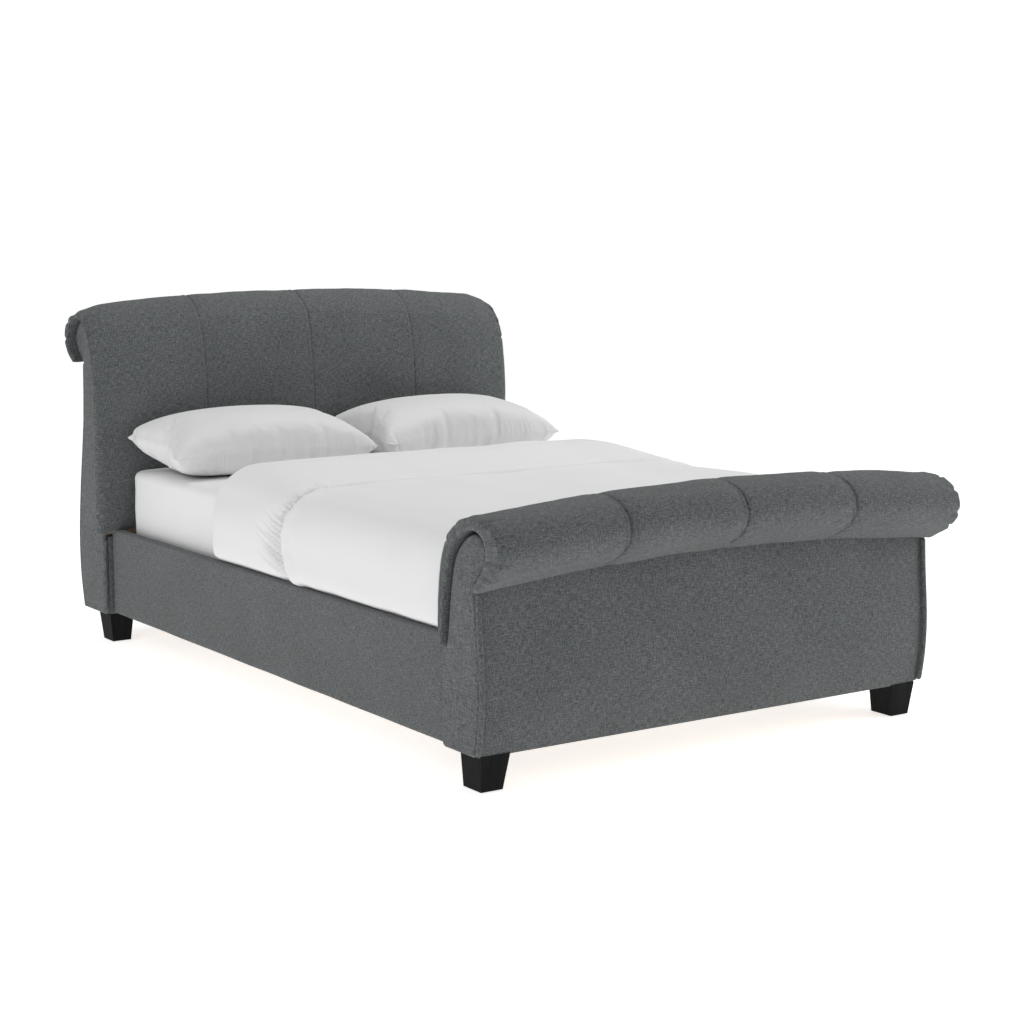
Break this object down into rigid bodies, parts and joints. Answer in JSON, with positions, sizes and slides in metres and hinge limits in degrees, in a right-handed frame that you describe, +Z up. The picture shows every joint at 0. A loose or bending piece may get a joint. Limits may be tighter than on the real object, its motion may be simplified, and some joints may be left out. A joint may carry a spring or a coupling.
{
  "type": "sleigh bed",
  "caption": "Upholstered double sleigh bed with scrolled headboard and footboard, slatted base, mattress, duvet and pillows.",
  "frame": {"origin": "on the floor, under the middle of the bed's overall box", "axes": "+Z up, +Y from the footboard to the headboard, +X to the right seen from the foot"},
  "size_m": [1.55, 2.447, 1.1001],
  "materials": {
    "grey_linen": "woven melange upholstery cloth, slubby, matt",
    "plywood": "raw plywood",
    "hardboard": "raw hardboard",
    "pine": "planed softwood",
    "beech": "laminated beech, lacquered",
    "black_wood": "black stained, satin lacquer",
    "black_plastic": "moulded, matt",
    "zinc_steel": "zinc plated",
    "black_steel": "powder coated, fine texture",
    "ticking": "knitted mattress ticking",
    "white_cotton": "percale cotton, crisp, matt",
    "pillow_cotton": "percale cotton, crisp, matt"
  },
  "bodies": {
    "bed_frame": {"footboard_front_panel": "grey_linen", "footboard_inner_panel": "grey_linen", "footboard_roll_pad": "grey_linen", "footboard_left_facing": "grey_linen", "footboard_right_facing": "grey_linen", "footboard_left_piping": "grey_linen", "footboard_right_piping": "grey_linen", "headboard_pad": "grey_linen", "headboard_lower_panel": "grey_linen", "headboard_back_panel": "grey_linen", "headboard_left_facing": "grey_linen", "headboard_right_facing": "grey_linen", "headboard_left_piping": "grey_linen", "headboard_right_piping": "grey_linen", "left_rail_cover": "grey_linen", "right_rail_cover": "grey_linen", "footboard_left_rib": "plywood", "footboard_right_rib": "plywood", "footboard_inner_board": "plywood", "headboard_left_rib": "plywood", "headboard_right_rib": "plywood", "headboard_inner_board": "plywood", "footboard_front_board": "hardboard", "headboard_back_board": "hardboard", "footboard_posts": "pine", "footboard_bottom_rail": "pine", "footboard_scroll_rail": "pine", "headboard_posts": "pine", "headboard_cross_rails": "pine", "headboard_scroll_rail": "pine", "left_rail_core": "pine", "right_rail_core": "pine", "left_slat_ledge": "pine", "right_slat_ledge": "pine", "centre_rail": "pine", "left_slats": "beech", "right_slats": "beech", "front_left_foot": "black_wood", "front_right_foot": "black_wood", "head_left_foot": "black_wood", "head_right_foot": "black_wood", "side_slat_holders": "black_plastic", "centre_slat_holders": "black_plastic", "foot_pads": "black_plastic", "corner_brackets": "zinc_steel", "bed_bolts": "zinc_steel", "barrel_nuts": "zinc_steel", "foot_bolts": "zinc_steel", "ledge_screws": "zinc_steel", "centre_rail_brackets": "zinc_steel", "front_centre_leg": "black_steel", "rear_centre_leg": "black_steel"},
    "mattress": {"mattress": "ticking", "fitted_sheet": "white_cotton"},
    "duvet": {"duvet": "white_cotton", "duvet_cuff": "white_cotton"},
    "left_pillow": {"left_pillow": "pillow_cotton"},
    "right_pillow": {"right_pillow": "pillow_cotton"},
    "front_glide": {"front_leg_glide": "black_plastic"},
    "rear_glide": {"rear_leg_glide": "black_plastic"}
  },
  "joints": [
    {"name": "mattress_lift", "type": "slide", "parent": "bed_frame", "child": "mattress", "axis": [0, 0, 1], "range_m": [0, 0.45]},
    {"name": "duvet_lift", "type": "slide", "parent": "mattress", "child": "duvet", "axis": [0, 0, 1], "range_m": [0, 0.4]},
    {"name": "left_pillow_lift", "type": "slide", "parent": "mattress", "child": "left_pillow", "axis": [0, 0, 1], "range_m": [0, 0.4]},
    {"name": "right_pillow_lift", "type": "slide", "parent": "mattress", "child": "right_pillow", "axis": [0, 0, 1], "range_m": [0, 0.4]},
    {"name": "front_glide_level", "type": "slide", "parent": "bed_frame", "child": "front_glide", "axis": [0, 0, 1], "range_m": [0, 0.012]},
    {"name": "rear_glide_level", "type": "slide", "parent": "bed_frame", "child": "rear_glide", "axis": [0, 0, 1], "range_m": [0, 0.012]}
  ]
}
